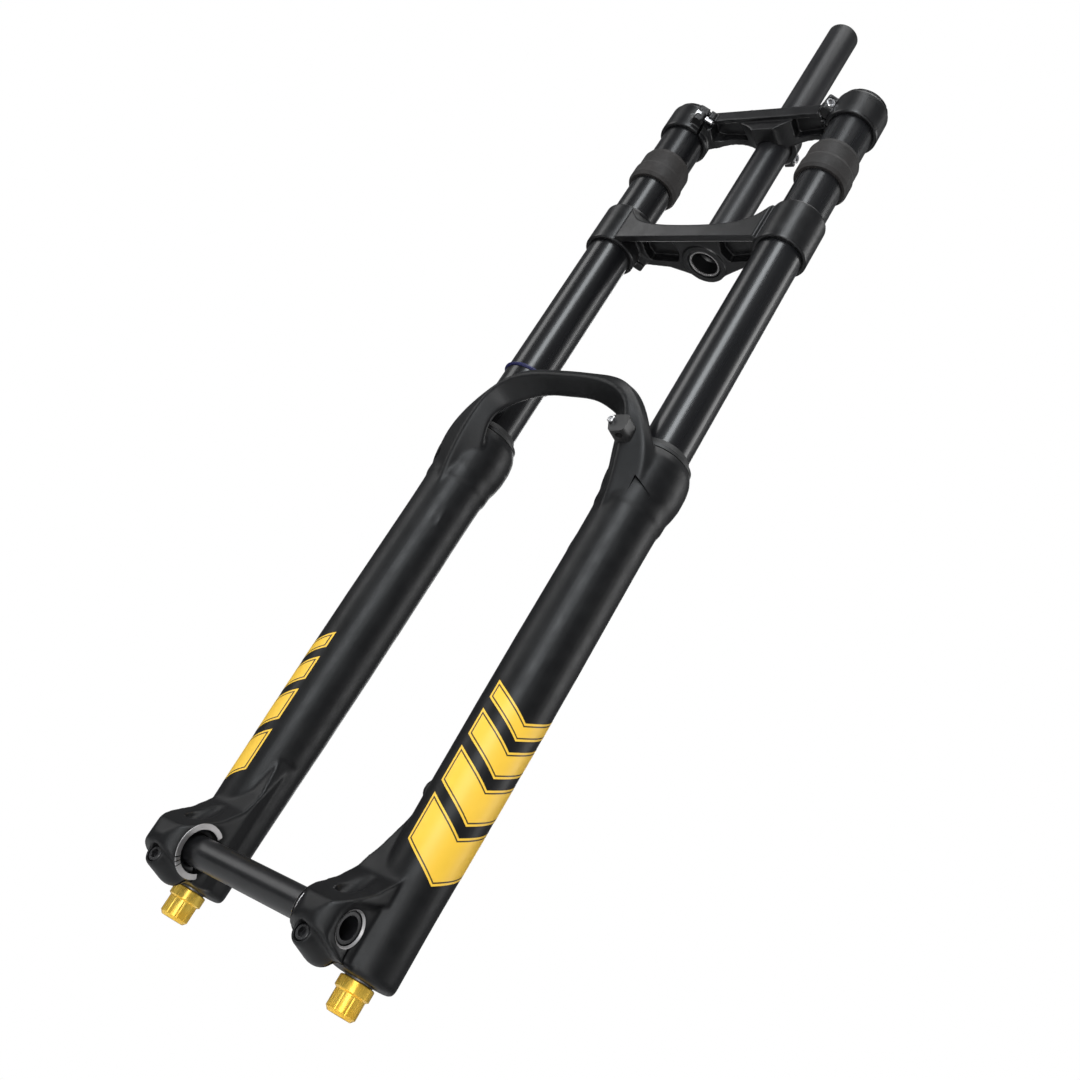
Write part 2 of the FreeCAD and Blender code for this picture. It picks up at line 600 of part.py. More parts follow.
def dropout_cuts(side):
    """Axle bore, hub recess, machined hub face, outer pocket, pinch slit and pinch screw hole."""
    name = side_name(side)
    axle_y = -size["crown_offset"] - size["axle_offset"]
    base = -size["axle_drop"]

    def along_x(tag, rad, start, end):
        bar = doc.addObject("Part::Cylinder", f"{tag}_{name}")
        bar.Radius = rad
        bar.Height = end - start
        low = min(side * start, side * end)
        bar.Placement = FreeCAD.Placement(vec(low, axle_y, base), FreeCAD.Rotation(vec(0, 1, 0), 90))
        return bar

    bore = along_x("axle_bore", size["axle_hole"], 40, 110)
    seat = along_x("hub_seat", size["hub_seat_rad"], 40, size["hub_half"] + size["hub_seat_deep"])
    face = along_x("hub_face", size["hub_ring_rad"], 40, size["hub_half"])
    window = slab(f"hub_face_window_{name}", [vec(side * 40, axle_y + y, base + z) for y, z in (
        (-30, -30), (11, -30), (11, 30), (-30, 30))], 0, vec(side * 30, 0, 0))
    half_face = joined(f"hub_face_cut_{name}", "Common", [face, window])
    chamfer = doc.addObject("Part::Cone", f"axle_chamfer_{name}")
    chamfer.Radius1 = size["axle_hole"]
    chamfer.Radius2 = size["axle_hole"] + 2.4
    chamfer.Height = 2.4
    turn = FreeCAD.Rotation(vec(0, 1, 0), 90 * side)
    chamfer.Placement = FreeCAD.Placement(vec(side * (size["lug_out"] - 1.2), axle_y, base), turn)
    pocket_outline = [(-13, -11), (-15.5, 3), (-9, 13.0), (6, 17.5), (24, 25.0), (24, -17), (4, -17)]
    pocket = slab(f"outer_pocket_{name}", [vec(side * size["lug_out"], axle_y + y, base + z)
                                          for y, z in pocket_outline], 4.0, vec(side * 4, 0, 0))
    keep = rod(f"outer_pocket_stop_{name}", "foot_rad + 0.5", "80", leg_x(side), LEG_Y, level("0 - 30"))
    pocket_cut = cut(f"outer_pocket_cut_{name}", pocket, keep)
    slit = slab(f"pinch_slit_{name}", [vec(side * 40, axle_y + y, base + z) for y, z in (
        (6.8, -40), (8.6, -40), (8.6, 0), (6.8, 0))], 0, vec(side * 60, 0, 0))
    mid_x = side * 71.5
    drill = doc.addObject("Part::Cylinder", f"pinch_drill_{name}")
    drill.Radius = 3.05
    drill.Height = 36
    screw_turn = FreeCAD.Rotation(vec(1, 0, 0), -90)
    pinch_z = base + size["pinch_lv"]
    drill.Placement = FreeCAD.Placement(vec(mid_x, axle_y - 20, pinch_z), screw_turn)
    counter = doc.addObject("Part::Cylinder", f"pinch_seat_{name}")
    counter.Radius = 5.4
    counter.Height = 30
    counter.Placement = FreeCAD.Placement(vec(mid_x, axle_y - 40.7, pinch_z), screw_turn)
    return [bore, seat, half_face, chamfer, pocket_cut, slit, drill, counter]


def leg_cuts(side):
    """The stepped bore of a leg and the hole in its foot."""
    name = side_name(side)
    hollow = turned(f"leg_hollow_{name}", [
        ("0", "bore_floor_lv"), ("bore_rad - 3", "bore_floor_lv"), ("bore_rad", "bore_floor_lv + 3"),
        ("bore_rad", "seal_floor_lv"), ("seal_rad", "seal_floor_lv"),
        ("seal_rad", "collar_top_lv + 5"), ("0", "collar_top_lv + 5")])
    place(hollow, leg_x(side), LEG_Y, "0 - axle_drop")
    hole = rod(f"foot_hole_{name}", "foot_hole", "80", leg_x(side), LEG_Y, level("foot_lv - 10"))
    return [hollow, hole]


def brake_mount():
    """Two posts on the rear inner side of the left leg, with their web."""
    solids = []
    cuts = []
    for index, shift in enumerate(("0 - 0.5 * post_space", "0.5 * post_space")):
        boss = rod(f"brake_post_{index}", "8.5", "post_face + 26", "post_side", "0 - 26",
                   level(f"post_lv + {shift}" if index else "post_lv - 0.5 * post_space"), ALONG_BACK)
        hole = rod(f"brake_hole_{index}", "2.5", "20", "post_side", "post_face - 15",
                   level(f"post_lv + {shift}" if index else "post_lv - 0.5 * post_space"), ALONG_BACK)
        solids.append(boss)
        cuts.append(hole)
    web = block("brake_web", "post_side - 5", "0 - 22", level("post_lv - 0.5 * post_space"),
                "16", "post_face + 17", "post_space")
    solids.append(web)
    return solids, cuts


def lower_casting():
    """Both legs, arch, dropouts and brake posts are one casting."""
    arch = arch_solid()
    solids = [arch]
    holes = []
    for side in (LEFT, RIGHT):
        solids += [leg_solid(side)] + dropout(side)
        holes += leg_cuts(side) + dropout_cuts(side)
    posts, post_holes = brake_mount()
    solid = joined("casting_solid", "Fuse", solids + posts)
    tool = joined("casting_cuts", "Fuse", holes + post_holes)
    node("lower_legs", cut("casting_part", solid, tool))
    return arch


def leg_guides(side):
    """Bushings and seals that the stanchion runs in."""
    name = side_name(side)

    def guide(label, outer, inner, low, high, edge="0.4"):
        body = ring(label, outer, inner, high, edge)
        node(label, place(body, leg_x(side), LEG_Y, level(low)))

    guide(f"lower_bushing_{name}", "bore_rad", "stanchion_rad + run", "224", "20")
    guide(f"upper_bushing_{name}", "bore_rad", "stanchion_rad + run", "seal_floor_lv - 22", "20")
    guide(f"oil_seal_{name}", "seal_rad", "stanchion_rad + run", "seal_floor_lv", "8")
    guide(f"foam_ring_{name}", "seal_rad", "stanchion_rad + run", "seal_floor_lv + 9", "9")
    wiper = turned(f"dust_wiper_{name}_body", [
        ("stanchion_rad + run", "0"), ("seal_rad - run", "0"), ("seal_rad - run", "9.4"),
        ("seal_rad + 2", "9.4"),
        ("seal_rad + 2", "12"), ("seal_rad - 1", "14"), ("stanchion_rad + 1.2", "18"),
        ("stanchion_rad + run", "18")])
    node(f"dust_wiper_{name}", place(wiper, leg_x(side), LEG_Y, level("collar_top_lv - 9.2")))


def axle_parts():
    half_long = 84.0
    axle = turned("through_axle_bar", [
        ("axle_bore", "0"), ("axle_rad - 0.8", "0"), ("axle_rad", "0.8"), ("axle_rad", "169.2"),
        ("axle_rad - 0.8", "170"), ("axle_bore", "170")])
    node("through_axle", place(axle, f"0 - {half_long}", AXLE_Y, "0 - axle_drop", ALONG_X))
    screws = []
    for side in (LEFT, RIGHT):
        bolt = screw(f"pinch_bolt_{side_name(side)}", 4.9, 5.5, 3.0, 24.0)
        screws.append(place(bolt, f"{side * 71.5}", f"{AXLE_Y} - 16.2", level("pinch_lv"), ALONG_FRONT))
    node("axle_pinch_bolts", *screws)


def hose_guide(arch):
    """Hose clip on the front of the arch, on the brake side, with its screw."""
    base = -size["axle_drop"]
    shell = doc.addObject("Part::Feature", "hose_guide_shell")
    corners = [vec(61.5, -54.0, base + 376.0), vec(80.0, -54.0, base + 378.5),
               vec(80.0, -54.0, base + 364.0), vec(68.5, -54.0, base + 361.5)]
    shell.Shape = Part.Face(rounded_wire(corners, 4.0)).extrude(vec(0, -14.5, 0))
    hole = rod("hose_guide_hole", "2.8", "60", "75", "0 - 63.5", level("340"))
    pin_hole = rod("hose_guide_pin_hole", "1.5", "6", "66.6", "0 - 69", level("371.6"), ALONG_BACK)
    tool = joined("hose_guide_cuts", "Fuse", [arch, hole, pin_hole])
    node("hose_guide", cut("hose_guide_part", shell, tool))
    bolt = screw("hose_guide_pin", 2.9, 2.4, 1.5, 4.4)
    node("hose_guide_bolt", place(bolt, "66.6", "0 - 70.95", level("371.6"), ALONG_FRONT))


# ---------------------------------------------------------------- damper, in the right leg

def damper():
    x = leg_x(RIGHT)

    def piece(label, points, low):
        node(label, place(turned(label + "_body", points), x, LEG_Y, level(low)))

    def tube(label, outer, inner, low, high, edge="0.4"):
        node(label, place(ring(label + "_body", outer, inner, high, edge), x, LEG_Y, level(low)))

    tube("damper_rod", "rod_rad", "2.2", "0 - 20", "276", "0.4")
    tube("damper_cartridge", "cartridge_rad", "cartridge_bore", "stanchion_low_lv + 14", "508.5", "0.5")
    piece("damper_seal_head", [
        ("rod_rad + run", "0"), ("stanchion_bore", "0"), ("stanchion_bore", "14"),
        ("cartridge_bore", "14"), ("cartridge_bore", "20"), ("rod_rad + run", "20")], "stanchion_low_lv")
    piece("damper_piston", [
        ("rod_rad", "0"), ("cartridge_bore - 0.3", "0"), ("cartridge_bore - 0.3", "3"),
        ("cartridge_bore - 1.6", "3.4"), ("cartridge_bore - 1.6", "6.6"), ("cartridge_bore - 0.3", "7"),
        ("cartridge_bore - 0.3", "10"), ("rod_rad", "10")], "damper_piston_lv")
    tube("damper_piston_band", "cartridge_bore - run", "cartridge_bore - 1.6", "damper_piston_lv + 3.5",
         "3", "0.2")
    piece("damper_rod_nut", [
        ("0", "13"), ("0", "18"), ("6.2", "18"), ("7", "17.2"), ("7", "10"), ("rod_rad", "10"),
        ("rod_rad", "13")], "damper_piston_lv")
    piece("compression_base_valve", [
        ("0", "0"), ("8", "0"), ("8", "6"), ("cartridge_bore", "6"), ("cartridge_bore", "18"), ("8", "18"),
        ("8", "26"), ("0", "26")], "600")
    piece("compensator_piston", [
        ("0", "0"), ("cartridge_bore - 0.3", "0"), ("cartridge_bore - 0.3", "10"), ("8", "10"), ("8", "4"),
        ("0", "4")], "650")
    tube("rebound_adjuster_rod", "2.1", "1.0", "0 - 32.3", "272", "0.2")
    cap = turned("damper_cap_body", [
        ("6.2", "0"), ("stanchion_bore", "0"), ("stanchion_bore", "21.3"), ("cap_rad", "21.3"),
        ("cap_rad", "24.6"), ("cap_rad - 1.2", "25.8"), ("6.2", "25.8")])
    flutes(cap, "damper_cap", 12, 2.0, 22.0, 60.0)
    node("damper_top_cap", place(cap, x, LEG_Y, level("cap_lv")))
    high_speed = turned("high_speed_knob_body", [
        ("8", "0"), ("13.5", "0"), ("14.3", "1"), ("14.3", "4.5"), ("13", "5.5"), ("8", "5.5")])
    flutes(high_speed, "high_speed_knob", 16, 1.2, 15.0, 60.0)
    node("high_speed_knob", place(high_speed, x, LEG_Y, level("cap_lv + 26.1")))
    low_speed = turned("low_speed_knob_body", [
        ("0", "0"), ("5.8", "0"), ("5.8", "12"), ("7.2", "12"), ("7.2", "18"), ("6.2", "19"), ("0", "19")])
    hex_pocket(low_speed, "low_speed_knob", 3.0, 3.0, 19.0)
    node("low_speed_knob", place(low_speed, x, LEG_Y, level("cap_lv + 20")))


def foot_fittings(side):
    """Crush washer, foot nut and gold knob or cap under a leg."""
    name = {LEFT: "air", RIGHT: "damper"}[side]
    x = leg_x(side)
    washer = ring(f"{name}_crush_washer_body", "9.5", "rod_rad + 0.3", "1", "0.2")
    node(f"{name}_crush_washer", place(washer, x, LEG_Y, level("foot_lv - 1")))
    nut = turned(f"{name}_foot_nut_body", [
        ("2.5", "0"), ("5.6", "0"), ("6.2", "0.6"), ("6.2", "4"), ("8.6", "4"), ("8.6", "6"), ("2.5", "6")])
    node(f"{name}_foot_nut", place(nut, x, LEG_Y, level("foot_lv - 7")))
    label = {LEFT: "ramp_air_cap", RIGHT: "rebound_knob"}[side]
    knob = turned(label + "_body", [
        ("0", "0"), ("knob_grip - 2", "0"), ("knob_grip", "2.2"), ("knob_grip", "13"), ("knob_rad", "14"),
        ("knob_rad", "20.4"), ("knob_rad - 0.8", "21"), ("9.2", "21"), ("9.2", "13.5"), ("6.8", "13.5"),
        ("6.8", "9"), ("0", "9")])
    flutes(knob, label, 10, 1.5, 10.9, 12.5)
    node(label, place(knob, x, LEG_Y, level("foot_lv - 22.3")))


# ---------------------------------------------------------------- air spring, in the left leg

def air_spring():
    x = leg_x(LEFT)

    def piece(label, points, low):
        node(label, place(turned(label + "_body", points), x, LEG_Y, level(low)))

    def tube(label, outer, inner, low, high, edge="0.4"):
        node(label, place(ring(label + "_body", outer, inner, high, edge), x, LEG_Y, level(low)))

    tube("air_shaft", "rod_rad", "3.4", "0 - 20", "294", "0.4")
    piece("air_seal_head", [
        ("10.2", "0"), ("stanchion_bore", "0"), ("stanchion_bore", "16"), ("rod_rad + run", "16"),
        ("rod_rad + run", "10"), ("10.2", "10")], "stanchion_low_lv")
    piece("top_out_bumper", [
        ("rod_rad", "0"), ("9", "0"), ("10.5", "4"), ("10.5", "14"), ("9", "18"), ("rod_rad", "18")],
          "air_piston_lv - 19")
    piece("air_piston", [
        ("rod_rad", "0"), ("stanchion_bore - 0.3", "0"), ("stanchion_bore - 0.3", "3"),
        ("stanchion_bore - 2.2", "3"), ("stanchion_bore - 2.2", "7"), ("stanchion_bore - 0.3", "7"),
        ("stanchion_bore - 0.3", "12"), ("rod_rad", "12")], "air_piston_lv")
    tube("air_piston_seal", "stanchion_bore - run", "stanchion_bore - 2.2", "air_piston_lv + 3.2",
         "3.6", "0.3")
    piece("bottom_out_bumper", [
        ("rod_rad", "0"), ("8", "0"), ("9.5", "3"), ("9.5", "9"), ("8", "12"), ("rod_rad", "12")],
          "bore_floor_lv")
    piece("ramp_up_piston", [
        ("0", "0"), ("stanchion_bore - 0.3", "0"), ("stanchion_bore - 0.3", "14"), ("10", "14"),
        ("10", "5"), ("0", "5")], "ramp_piston_lv")
    cap = turned("air_cap_body", [
        ("5.2", "0"), ("stanchion_bore", "0"), ("stanchion_bore", "21.3"), ("cap_rad", "21.3"),
        ("cap_rad", "24.6"), ("cap_rad - 1.2", "25.8"), ("5.2", "25.8")])
    flutes(cap, "air_cap", 12, 2.0, 22.0, 60.0)
    node("air_top_cap", place(cap, x, LEG_Y, level("cap_lv")))
    piece("air_valve", [
        ("1.6", "0"), ("5.2", "0"), ("5.2", "24.8"), ("3.9", "24.8"), ("3.9", "33"), ("1.6", "33")],
          "cap_lv + 1")
    valve_cap = turned("valve_cap_body", [
        ("0", "10.5"), ("0", "12"), ("6.2", "12"), ("7", "11.2"), ("7", "0"), ("4.3", "0"), ("4.3", "10.5")])
    flutes(valve_cap, "valve_cap", 14, 0.7, 7.3, 60.0)
    node("valve_cap", place(valve_cap, x, LEG_Y, level("cap_lv + 26.1")))
    piece("ramp_air_valve", [
        ("0", "0"), ("3.8", "0"), ("3.8", "5.6"), ("2.3", "5.6"), ("2.3", "20"), ("0", "20")], "foot_lv - 13")
    marker = ring("travel_ring_body", "stanchion_rad + 1.8", "stanchion_rad + run", "3", "1.2")
    node("travel_marker_ring", place(marker, leg_x(RIGHT), LEG_Y, level("440")))


# ---------------------------------------------------------------- build, check and write

steerer()
lower_crown()
upper_crown()
for which in (LEFT, RIGHT):
    stanchion(which)
    bumper(which)
    leg_guides(which)
    foot_fittings(which)
hose_guide(lower_casting())
axle_parts()
damper()
air_spring()
doc.recompute()

faulty = [thing.Name for thing in doc.Objects if {"Invalid", "Error"} & set(thing.State)]
for label, thing in nodes.items():
    if thing.Shape.isNull() or not thing.Shape.isValid() or not thing.Shape.Solids:
        faulty.append(label)
if faulty:
    raise SystemExit("these objects failed: " + ", ".join(faulty))

os.makedirs("parts", exist_ok=True)
for label, thing in nodes.items():
    thing.Shape.exportStep(f"parts/{label}.step")
    print(label, "solids", len(thing.Shape.Solids), "volume", round(thing.Shape.Volume / 1000, 2), "cm3")
print(len(nodes), "nodes")
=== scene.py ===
"""Looks of the suspension fork: smoothed castings, coloured graphics and materials over the CAD frame."""

import json
import math

import bmesh
import bpy
from mathutils import Matrix, Vector
from mathutils.bvhtree import BVHTree


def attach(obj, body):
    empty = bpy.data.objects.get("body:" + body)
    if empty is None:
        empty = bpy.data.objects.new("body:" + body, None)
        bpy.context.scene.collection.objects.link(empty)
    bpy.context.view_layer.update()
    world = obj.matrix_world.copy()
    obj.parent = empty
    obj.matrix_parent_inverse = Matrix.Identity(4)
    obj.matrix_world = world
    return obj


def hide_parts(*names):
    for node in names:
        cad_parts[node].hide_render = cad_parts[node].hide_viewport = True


MM = 0.001
AXLE_Y = -0.056
AXLE_Z = -0.625
LEG_X = 0.08175
LEG_Y = -0.020
SIDES = ((1, "left"), (-1, "right"))
EDGE_SOFTNESS = 0.0004


def level(height_mm):
    """Row height, in metres, of a level above the axle in millimetres."""
    return AXLE_Z + height_mm * MM


# ---------------------------------------------------------------- shader building

class Shader:
    """A material's node tree with short ways to add the usual patterns."""

    def __init__(self, name, colour, rough, metal=0.0):
        self.material = bpy.data.materials.new(name)
        self.material.use_nodes = True
        self.tree = self.material.node_tree
        self.surface = self.tree.nodes["Principled BSDF"]
        self.surface.inputs["Base Color"].default_value = (*colour, 1.0)
        self.surface.inputs["Roughness"].default_value = rough
        self.surface.inputs["Metallic"].default_value = metal
        self.coords = self.tree.nodes.new("ShaderNodeTexCoord")
        self.normal = None

    def add(self, kind, **settings):
        made = self.tree.nodes.new("ShaderNode" + kind)
        for key, value in settings.items():
            setattr(made, key, value)
        return made

    def link(self, start, end):
        self.tree.links.new(start, end)

    def stretched(self, stretch):
        mapping = self.add("Mapping")
        mapping.inputs["Scale"].default_value = stretch
        self.link(self.coords.outputs["Object"], mapping.inputs["Vector"])
        return mapping.outputs["Vector"]

    def noise(self, scale, detail=3.0, stretch=(1, 1, 1)):
        """Noise over the object, with scale in turns per metre."""
        made = self.add("TexNoise")
        made.inputs["Scale"].default_value = scale
        made.inputs["Detail"].default_value = detail
        self.link(self.stretched(stretch), made.inputs["Vector"])
        return made.outputs["Fac"]

    def ramp(self, source, stops):
        """Colours along a 0 to 1 value."""
        made = self.add("ValToRGB")
        marks = made.color_ramp.elements
        while len(marks) < len(stops):
            marks.new(0.5)
        for mark, (place, colour) in zip(marks, stops):
            mark.position = place
            mark.color = (*colour, 1.0)
        self.link(source, made.inputs["Fac"])
        return made.outputs["Color"]

    def spread(self, source, low, high, start=0.3, end=0.7):
        made = self.add("MapRange")
        made.inputs["From Min"].default_value = start
        made.inputs["From Max"].default_value = end
        made.inputs["To Min"].default_value = low
        made.inputs["To Max"].default_value = high
        self.link(source, made.inputs["Value"])
        return made.outputs["Result"]

    def tones(self, source, dark, light):
        self.link(self.ramp(source, [(0.35, dark), (0.65, light)]), self.surface.inputs["Base Color"])

    def roughness(self, source, low, high):
        self.link(self.spread(source, low, high), self.surface.inputs["Roughness"])

    def soft_edges(self, radius):
        """Rounds the shading of sharp machined edges."""
        made = self.add("Bevel", samples=4)
        made.inputs["Radius"].default_value = radius
        self.normal = made.outputs["Normal"]
        self.link(self.normal, self.surface.inputs["Normal"])

    def bump(self, source, depth, strength=1.0):
        """Adds relief of that depth, in metres, on top of any relief so far."""
        made = self.add("Bump")
        made.inputs["Strength"].default_value = strength
        made.inputs["Distance"].default_value = depth
        self.link(source, made.inputs["Height"])
        if self.normal:
            self.link(self.normal, made.inputs["Normal"])
        self.normal = made.outputs["Normal"]
        self.link(self.normal, self.surface.inputs["Normal"])


def painted(name, dark, light, rough, grain, depth, gloss=0.5):
    """A satin coating with a fine grain and slow changes of gloss."""
    look = Shader(name, dark, rough[0])
    look.surface.inputs["Specular IOR Level"].default_value = gloss
    look.tones(look.noise(26.0, 4.0), dark, light)
    look.roughness(look.noise(90.0, 5.0), *rough)
    look.bump(look.noise(grain, 2.0), depth)
    return look


def turned_metal(name, dark, light, rough, axis, metal=1.0, depth=0.00001):
    """Lathe-turned metal with fine rings across the given axis."""
    look = Shader(name, dark, rough[0], metal)
    stretch = tuple(1.0 if axis == each else 0.02 for each in "xyz")
    rings = look.noise(2600.0, 2.0, stretch)
    look.tones(look.noise(70.0, 4.0), dark, light)
    look.roughness(rings, *rough)
    look.soft_edges(EDGE_SOFTNESS)
    look.bump(rings, depth)
    return look


def coatings():
    """Paints, rubbers and plastics."""
    made = {}
    made["black_casting"] = painted(
        "cast_satin_black", (0.0035, 0.0036, 0.004), (0.0062, 0.0063, 0.0068), (0.38, 0.48), 1500.0, 0.00003,
        gloss=0.29)
    made["black_crown"] = painted(
        "crown_satin_black", (0.004, 0.004, 0.0044), (0.0075, 0.0075, 0.008), (0.28, 0.38), 2200.0, 0.00002,
        gloss=0.42)
    made["bumper_rubber"] = painted(
        "rough_black_rubber", (0.007, 0.006, 0.0055), (0.014, 0.011, 0.010), (0.62, 0.8), 900.0, 0.0002)
    made["bumper_rubber"].bump(made["bumper_rubber"].noise(340.0, 6.0), 0.0004, 0.6)
    made["seal_rubber"] = painted(
        "seal_black_rubber", (0.010, 0.010, 0.010), (0.016, 0.016, 0.016), (0.48, 0.6), 1200.0, 0.00004)
    made["blue_rubber"] = painted(
        "ring_blue_rubber", (0.006, 0.007, 0.05), (0.012, 0.015, 0.11), (0.35, 0.5), 1500.0, 0.00002)
    made["black_plastic"] = painted(
        "moulded_black_plastic", (0.009, 0.009, 0.009), (0.014, 0.014, 0.014), (0.38, 0.5), 1600.0, 0.00003)
    made["black_plastic"].soft_edges(EDGE_SOFTNESS)
    made["bushing"] = painted(
        "bushing_bronze", (0.18, 0.12, 0.07), (0.26, 0.18, 0.11), (0.45, 0.6), 2000.0, 0.00003)
    made["foam"] = painted(
        "wiper_foam", (0.10, 0.085, 0.06), (0.17, 0.145, 0.10), (0.85, 0.95), 1100.0, 0.0005)
    return made


def turned_metals():
    """Metals with the rings that a lathe leaves."""
    made = {}
    made["silver_bolt"] = turned_metal(
        "bolt_silver", (0.42, 0.42, 0.43), (0.62, 0.62, 0.63), (0.2, 0.34), "x")
    made["polished_steel"] = turned_metal(
        "steel_polished", (0.52, 0.52, 0.53), (0.66, 0.66, 0.67), (0.08, 0.16), "z")
    made["bare_aluminium"] = turned_metal(
        "aluminium_bare", (0.36, 0.35, 0.35), (0.46, 0.45, 0.45), (0.4, 0.5), "z")
    made["brass_valve"] = turned_metal(
        "valve_brass", (0.55, 0.36, 0.13), (0.72, 0.5, 0.2), (0.2, 0.34), "z")
    made["black_bolt"] = turned_metal(
        "bolt_black", (0.008, 0.008, 0.009), (0.02, 0.02, 0.021), (0.26, 0.38), "y", metal=0.0)
    made["black_axle"] = turned_metal(
        "axle_black", (0.006, 0.006, 0.0065), (0.010, 0.010, 0.011), (0.3, 0.34), "x", metal=0.0,
        depth=0.000002)
    return made


def anodised_steerer():
    look = Shader("steerer_satin_black", (0.008, 0.008, 0.009), 0.34)
    look.tones(look.noise(20.0, 3.0, (1, 1, 0.15)), (0.006, 0.006, 0.007), (0.012, 0.012, 0.013))
    look.roughness(look.noise(60.0, 4.0, (1, 1, 0.2)), 0.30, 0.42)
    look.bump(look.noise(3000.0, 2.0, (0.02, 0.02, 1)), 0.000012)
    return look


def polished_stanchion():
    look = Shader("stanchion_gloss_black", (0.004, 0.004, 0.0045), 0.27)
    look.tones(look.noise(14.0, 2.0, (1, 1, 0.1)), (0.003, 0.003, 0.0035), (0.006, 0.0062, 0.007))
    look.roughness(look.noise(240.0, 4.0, (1, 1, 0.04)), 0.26, 0.31)
    look.surface.inputs["Coat Weight"].default_value = 0.12
    look.surface.inputs["Coat Roughness"].default_value = 0.12
    return look


def gold_anodising():
    """Gold dye over metal brushed along the piece's length."""
    look = Shader("anodised_gold", (1.0, 0.62, 0.07), 0.24, 0.55)
    look.tones(look.noise(70.0, 3.0), (1.0, 0.58, 0.06), (1.0, 0.68, 0.11))
    look.roughness(look.noise(900.0, 3.0, (1, 1, 0.08)), 0.2, 0.3)
    look.soft_edges(0.0003)
    look.bump(look.noise(1500.0, 2.0, (1, 1, 0.03)), 0.000012)
    return look


def make_materials():
    """One finished material for each of the record's material slots."""
    made = {**coatings(), **turned_metals()}
    made["black_steerer"] = anodised_steerer()
    made["gloss_black_stanchion"] = polished_stanchion()
    made["gold_anodised"] = gold_anodising()
    return made


# ---------------------------------------------------------------- mesh building

def new_object(name, verts, faces, smooth=True):
    mesh = bpy.data.meshes.new(name)
    mesh.from_pydata(verts, [], faces)
    mesh.update()
    for polygon in mesh.polygons:
        polygon.use_smooth = smooth
    made = bpy.data.objects.new(name, mesh)
    bpy.context.scene.collection.objects.link(made)
    return made


def apply_modifiers(thing):
    """Swaps the object's mesh for its modified one and drops the modifiers."""
    graph = bpy.context.evaluated_depsgraph_get()
    mesh = bpy.data.meshes.new_from_object(thing.evaluated_get(graph))
    thing.modifiers.clear()
    old = thing.data
    thing.data = mesh
    bpy.data.meshes.remove(old)


def add_remesh(thing, voxel):
    remesh = thing.modifiers.new("remesh", "REMESH")
    remesh.mode = "VOXEL"
    remesh.voxel_size = voxel


def smoothed_casting(node, name, voxel, rounds, scoop=None):
    """A copy of a CAD node with its joins blended as a casting's are, after any scoop."""
    source = frame["nodes"][node]
    copy = bpy.data.objects.new(name, source.data.copy())
    bpy.context.scene.collection.objects.link(copy)
    add_remesh(copy, voxel)
    apply_modifiers(copy)
    if scoop:
        cut_with(copy, scoop)
        add_remesh(copy, voxel)
    soften = copy.modifiers.new("soften", "SMOOTH")
    soften.factor = 0.5
    soften.iterations = rounds
    apply_modifiers(copy)
    return copy


def cutter_cylinder(bm, radius, start, end, sides=96):
    """A closed round bar between two points, added to bm."""
    start, end = Vector(start), Vector(end)
    way = end - start
    turn = way.to_track_quat("Z", "Y").to_matrix().to_4x4()
    place = Matrix.Translation((start + end) / 2) @ turn
    bmesh.ops.create_cone(
        bm, cap_ends=True, segments=sides, radius1=radius, radius2=radius, depth=way.length, matrix=place)


def cutter_box(bm, low, high):
    centre = (Vector(low) + Vector(high)) / 2
    span = Vector(high) - Vector(low)
    place = Matrix.Translation(centre) @ Matrix.Diagonal((*span, 1.0))
    bmesh.ops.create_cube(bm, size=1.0, matrix=place)


def cut_with(thing, build):
    """Cuts thing with each closed shape that build adds to an empty mesh."""
    bm = bmesh.new()
    build(bm)
    mesh = bpy.data.meshes.new("cutter")
    bm.to_mesh(mesh)
    bm.free()
    tool = bpy.data.objects.new("cutter", mesh)
    bpy.context.scene.collection.objects.link(tool)
    cut = thing.modifiers.new("cut", "BOOLEAN")
    cut.operation = "DIFFERENCE"
    cut.solver = "MANIFOLD"
    cut.object = tool
    apply_modifiers(thing)
    bpy.data.objects.remove(tool)


# ---------------------------------------------------------------- frame

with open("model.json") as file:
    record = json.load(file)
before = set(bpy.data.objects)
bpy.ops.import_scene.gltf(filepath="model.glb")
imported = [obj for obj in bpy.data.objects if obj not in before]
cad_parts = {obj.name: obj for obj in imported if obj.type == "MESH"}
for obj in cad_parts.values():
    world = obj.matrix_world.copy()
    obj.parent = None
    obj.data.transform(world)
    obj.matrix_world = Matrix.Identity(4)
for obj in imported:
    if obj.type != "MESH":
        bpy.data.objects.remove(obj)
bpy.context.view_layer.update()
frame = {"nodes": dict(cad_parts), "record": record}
looks = make_materials()


def wear(thing, slot):
    """Gives a piece the finished material of a record slot, as its only material."""
    thing.data.materials.clear()
    thing.data.materials.append(looks[slot].material)


for part in frame["record"]["subparts"]:
    shown = frame["nodes"][part["node"]]
    shown.data.materials.clear()
    shown.data.materials.append(looks[part["material_slot"]].material)


# ---------------------------------------------------------------- castings

def around_leg(side, azimuth, radius, height):
    """A point at that azimuth, in degrees from straight outward towards the rear, round a leg's axis."""
    turn = math.radians(azimuth)
    return Vector((side * (LEG_X + radius * math.cos(turn)), LEG_Y + radius * math.sin(turn), height))


